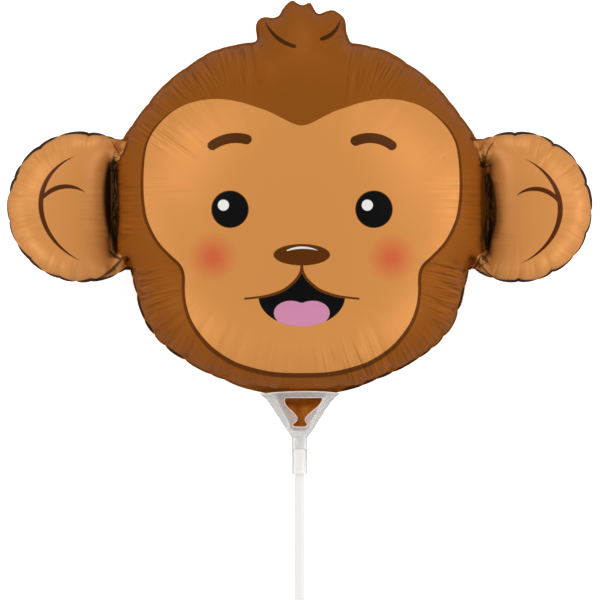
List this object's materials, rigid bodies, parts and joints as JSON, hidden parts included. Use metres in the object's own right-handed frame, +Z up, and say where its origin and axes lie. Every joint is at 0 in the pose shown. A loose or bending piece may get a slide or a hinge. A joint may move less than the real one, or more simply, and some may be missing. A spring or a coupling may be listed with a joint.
{
  "type": "monkey head foil balloon",
  "caption": "Inflated foil balloon in the shape of a smiling monkey head with round ears and a tuft of hair, in a moulded cup on a hollow stick, lying face up.",
  "frame": {"origin": "centre of the flat spot on the back of the head, on the surface it lies on", "axes": "+Z up, the way the face looks; +Y from the chin towards the hair; +X to the right as the face is seen"},
  "size_m": [0.2998, 0.5266, 0.1092],
  "materials": {
    "printed_foil": "satin",
    "cup_plastic": "satin",
    "stick_plastic": "satin"
  },
  "bodies": {
    "root": {"balloon": "printed_foil", "cup": "cup_plastic", "stick": "stick_plastic"}
  },
  "joints": []
}
